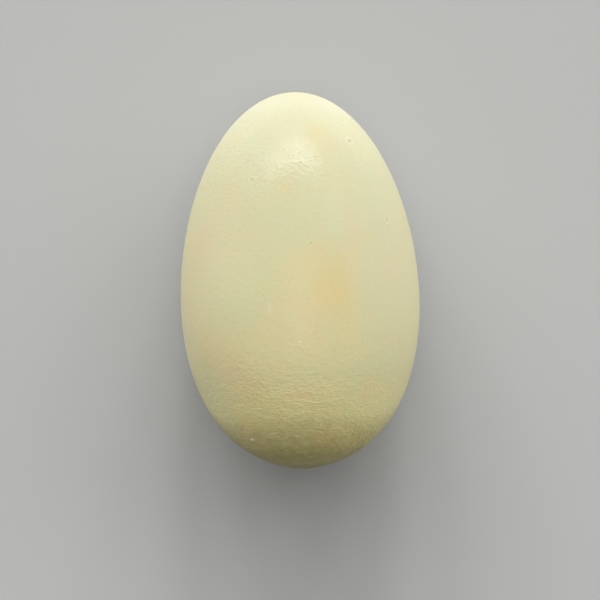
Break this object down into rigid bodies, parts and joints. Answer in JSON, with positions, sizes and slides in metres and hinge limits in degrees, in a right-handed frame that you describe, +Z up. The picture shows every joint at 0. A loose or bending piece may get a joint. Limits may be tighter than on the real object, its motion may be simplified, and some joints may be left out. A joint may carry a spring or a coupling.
{
  "type": "mute swan egg",
  "caption": "Whole mute swan egg in its pale greenish cream shell, a long oval narrower at one end, lying on its side.",
  "frame": {"origin": "centre of the small flat spot under the egg's middle that it rests on", "axes": "+Z up, +Y along the egg towards its narrow end, which lies a little lower than the blunt end, +X across the egg"},
  "size_m": [0.0724, 0.1138, 0.0724],
  "materials": {
    "eggshell": "satin, finely pitted"
  },
  "bodies": {
    "root": {"egg": "eggshell"}
  },
  "joints": []
}
